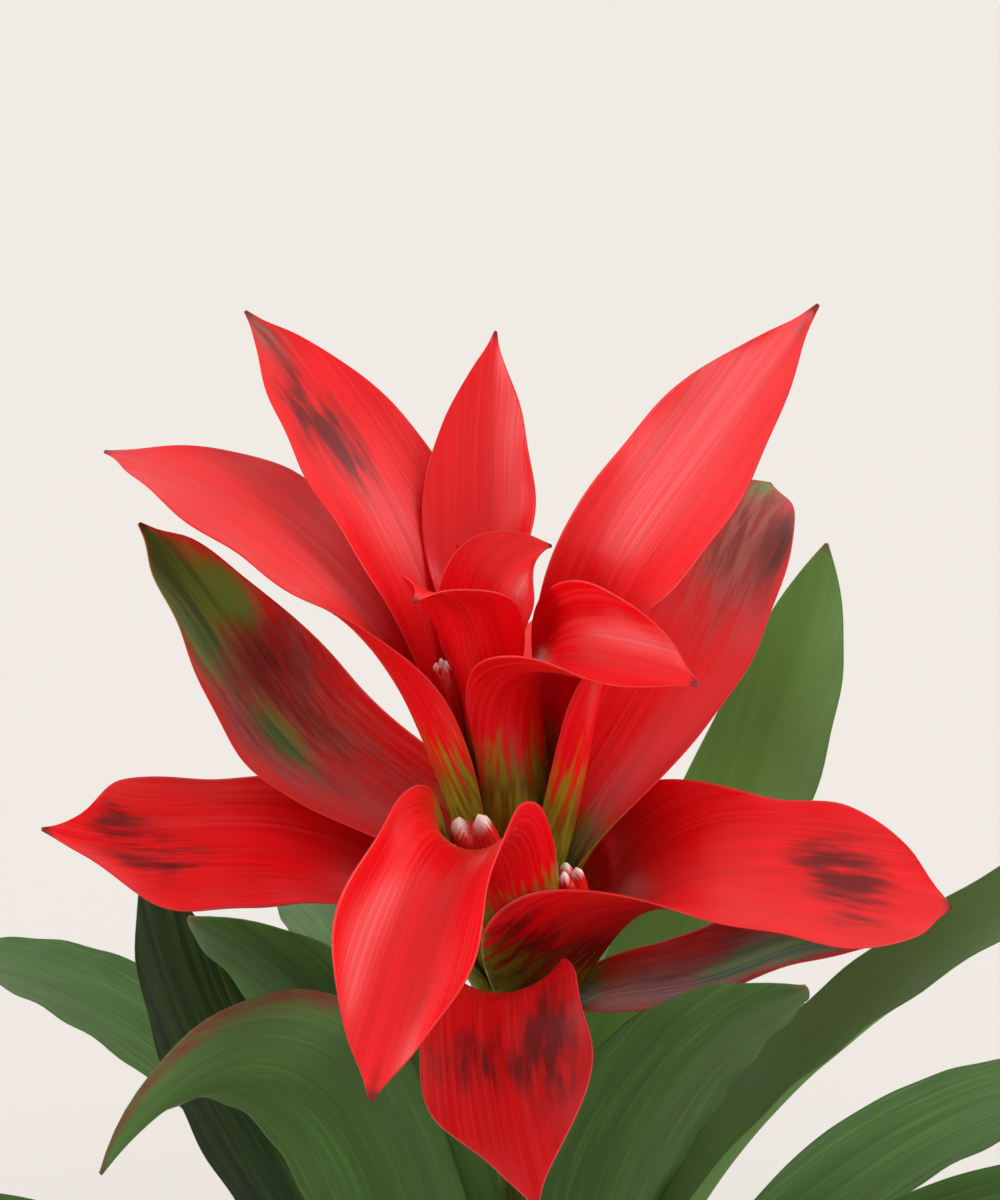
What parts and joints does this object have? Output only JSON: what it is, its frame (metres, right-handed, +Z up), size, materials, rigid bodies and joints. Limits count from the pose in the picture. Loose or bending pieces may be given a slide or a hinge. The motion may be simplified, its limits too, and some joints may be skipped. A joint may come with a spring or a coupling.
{
  "type": "potted guzmania",
  "caption": "Potted guzmania in flower: a head of glossy red bracts on an upright stem above arching strap leaves, in a plain tapered clay pot.",
  "frame": {"origin": "centre of the pot's base, on the surface it stands on", "axes": "+Z up along the pot's axis, +X to the plant's right as it is looked at in the picture, +Y away from the viewer"},
  "size_m": [0.5361, 0.5307, 0.4693],
  "materials": {
    "clay": "matte",
    "soil": "matte",
    "green_leaf": "satin",
    "green_stem": "satin",
    "red_bract": "satin",
    "flower_bud": "satin"
  },
  "bodies": {
    "root": {"pot": "clay", "soil": "soil", "leaf_stump": "green_stem", "flower_stem": "green_stem", "bract_low_front_under": "red_bract", "bract_low_right_back": "red_bract", "bract_low_back_left": "red_bract", "bract_low_right": "red_bract", "bract_low_left": "red_bract", "bract_low_front": "red_bract", "bract_low_back_right": "red_bract", "bract_back_left_low": "red_bract", "bract_back_right": "red_bract", "bract_left_high": "red_bract", "bract_right_high": "red_bract", "bract_right_folded": "red_bract", "bract_back_left": "red_bract", "bract_top_centre": "red_bract", "bract_inner_left": "red_bract", "bract_inner_front": "red_bract", "bract_inner_right": "red_bract", "leaf_01": "green_leaf", "leaf_02": "green_leaf", "leaf_03": "green_leaf", "leaf_04": "green_leaf", "leaf_05": "green_leaf", "leaf_06": "green_leaf", "leaf_07": "green_leaf", "leaf_08": "green_leaf", "leaf_09": "green_leaf", "leaf_10": "green_leaf", "leaf_11": "green_leaf", "leaf_12": "green_leaf", "leaf_13": "green_leaf", "leaf_14": "green_leaf", "leaf_15": "green_leaf", "leaf_16": "green_leaf", "leaf_17": "green_leaf", "bud_front": "flower_bud", "bud_right": "flower_bud", "bud_left": "flower_bud", "bud_top": "flower_bud"}
  },
  "joints": []
}
